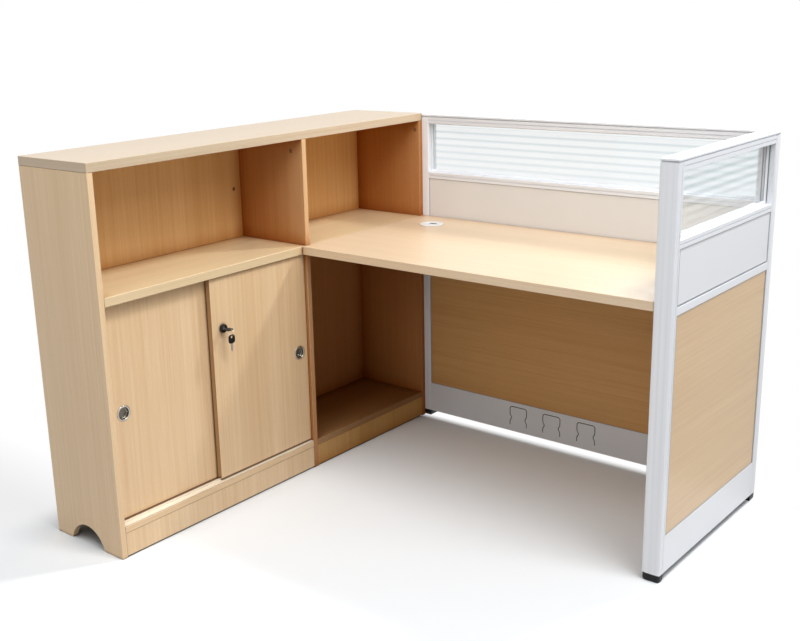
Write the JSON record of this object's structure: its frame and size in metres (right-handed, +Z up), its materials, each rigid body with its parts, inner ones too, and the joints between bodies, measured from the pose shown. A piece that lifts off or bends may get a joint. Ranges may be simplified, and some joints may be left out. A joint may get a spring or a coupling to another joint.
{
  "type": "partition workstation desk",
  "caption": "L-shaped office workstation: side cabinet with open hutch and sliding doors, desktop with cable grommet, and framed screens with glazed tops at the back and right.",
  "frame": {"origin": "middle of the footprint, on the floor", "axes": "+X to the sitter's right, from the side cabinet to the side screen; +Y from the sitter to the back screen; +Z up"},
  "size_m": [1.518, 1.4464, 1.1],
  "materials": {
    "beech_laminate": "satin beech-grain laminate",
    "white_aluminium": "silver-white powder coat",
    "white_panel": "white laminate",
    "clear_glass": "clear with frosted stripes",
    "black_plastic": "black, lightly textured",
    "satin_nickel": "satin nickel plate",
    "steel": "zinc-plated steel",
    "white_plastic": "white moulded plastic",
    "cream_plastic": "smooth cream plastic"
  },
  "bodies": {
    "frame": {"cabinet_top": "beech_laminate", "near_end_panel": "beech_laminate", "far_end_panel": "beech_laminate", "shelf_board": "beech_laminate", "hutch_divider": "beech_laminate", "lower_divider": "beech_laminate", "cupboard_bottom": "beech_laminate", "bay_bottom": "beech_laminate", "cupboard_plinth": "beech_laminate", "bay_plinth": "beech_laminate", "hutch_back_near": "beech_laminate", "hutch_back_far": "beech_laminate", "cupboard_back": "beech_laminate", "bay_back": "beech_laminate", "cupboard_shelf": "beech_laminate", "desktop": "beech_laminate", "back_lower_panel": "beech_laminate", "side_lower_panel": "beech_laminate", "end_post": "white_aluminium", "corner_post": "white_aluminium", "front_post": "white_aluminium", "back_top_rail": "white_aluminium", "back_mid_rail": "white_aluminium", "back_desk_rail": "white_aluminium", "back_raceway": "white_aluminium", "side_top_rail": "white_aluminium", "side_mid_rail": "white_aluminium", "side_desk_rail": "white_aluminium", "side_raceway": "white_aluminium", "back_cap": "white_aluminium", "side_cap": "white_aluminium", "back_upper_panel": "white_panel", "side_upper_panel": "white_panel", "back_glass": "clear_glass", "side_glass": "clear_glass", "end_foot": "black_plastic", "corner_foot": "black_plastic", "front_foot": "black_plastic", "joining_plate_near": "steel", "joining_plate_far": "steel", "side_angle_near": "steel", "side_angle_far": "steel", "grommet_body": "white_plastic", "top_track": "cream_plastic", "bottom_track": "cream_plastic"},
    "left_door": {"left_door": "beech_laminate", "left_pull": "satin_nickel"},
    "right_door": {"right_door": "beech_laminate", "right_pull": "satin_nickel", "lock_body": "black_plastic"},
    "left_roller_near": {"left_door_roller_near": "white_plastic"},
    "left_roller_far": {"left_door_roller_far": "white_plastic"},
    "right_roller_near": {"right_door_roller_near": "white_plastic"},
    "right_roller_far": {"right_door_roller_far": "white_plastic"},
    "lock": {"lock_plug": "steel", "lock_key": "black_plastic"},
    "ring": {"key_ring": "steel"},
    "spare": {"spare_key": "black_plastic"},
    "grommet_cap": {"grommet_cap": "white_plastic"}
  },
  "joints": [
    {"name": "left_door_slide", "type": "slide", "parent": "frame", "child": "left_door", "axis": [0, 1, 0], "range_m": [0, 0.37]},
    {"name": "right_door_slide", "type": "slide", "parent": "frame", "child": "right_door", "axis": [0, -1, 0], "range_m": [0, 0.37]},
    {"name": "lock_turn", "type": "hinge", "parent": "right_door", "child": "lock", "pos_m": [-0.469, -0.29215, 0.564], "axis": [1, 0, 0], "range_deg": [0, 90]},
    {"name": "ring_swing", "type": "hinge", "parent": "lock", "child": "ring", "pos_m": [-0.43215, -0.29215, 0.564], "axis": [1, 0, 0], "range_deg": [-25, 25]},
    {"name": "spare_key_swing", "type": "hinge", "parent": "ring", "child": "spare", "pos_m": [-0.43215, -0.29215, 0.54667], "axis": [1, 0, 0], "range_deg": [-30, 30]},
    {"name": "grommet_cap_turn", "type": "hinge", "parent": "frame", "child": "grommet_cap", "pos_m": [-0.332, 0.55115, 0.746], "axis": [0, 0, 1], "continuous": true},
    {"name": "left_roller_near_spin", "type": "hinge", "parent": "left_door", "child": "left_roller_near", "pos_m": [-0.498, -0.64815, 0.1108], "axis": [1, 0, 0], "range_deg": [-2125, 0]},
    {"name": "left_roller_far_spin", "type": "hinge", "parent": "left_door", "child": "left_roller_far", "pos_m": [-0.498, -0.36015, 0.1108], "axis": [1, 0, 0], "range_deg": [-2125, 0]},
    {"name": "right_roller_near_spin", "type": "hinge", "parent": "right_door", "child": "right_roller_near", "pos_m": [-0.477, -0.27815, 0.1108], "axis": [1, 0, 0], "range_deg": [0, 2125]},
    {"name": "right_roller_far_spin", "type": "hinge", "parent": "right_door", "child": "right_roller_far", "pos_m": [-0.477, 0.00985, 0.1108], "axis": [1, 0, 0], "range_deg": [0, 2125]}
  ],
  "couplings": [
    {"joint": "left_roller_near_spin", "follows": "left_door_slide", "rad_per_m": -100},
    {"joint": "left_roller_far_spin", "follows": "left_door_slide", "rad_per_m": -100},
    {"joint": "right_roller_near_spin", "follows": "right_door_slide", "rad_per_m": 100},
    {"joint": "right_roller_far_spin", "follows": "right_door_slide", "rad_per_m": 100}
  ]
}
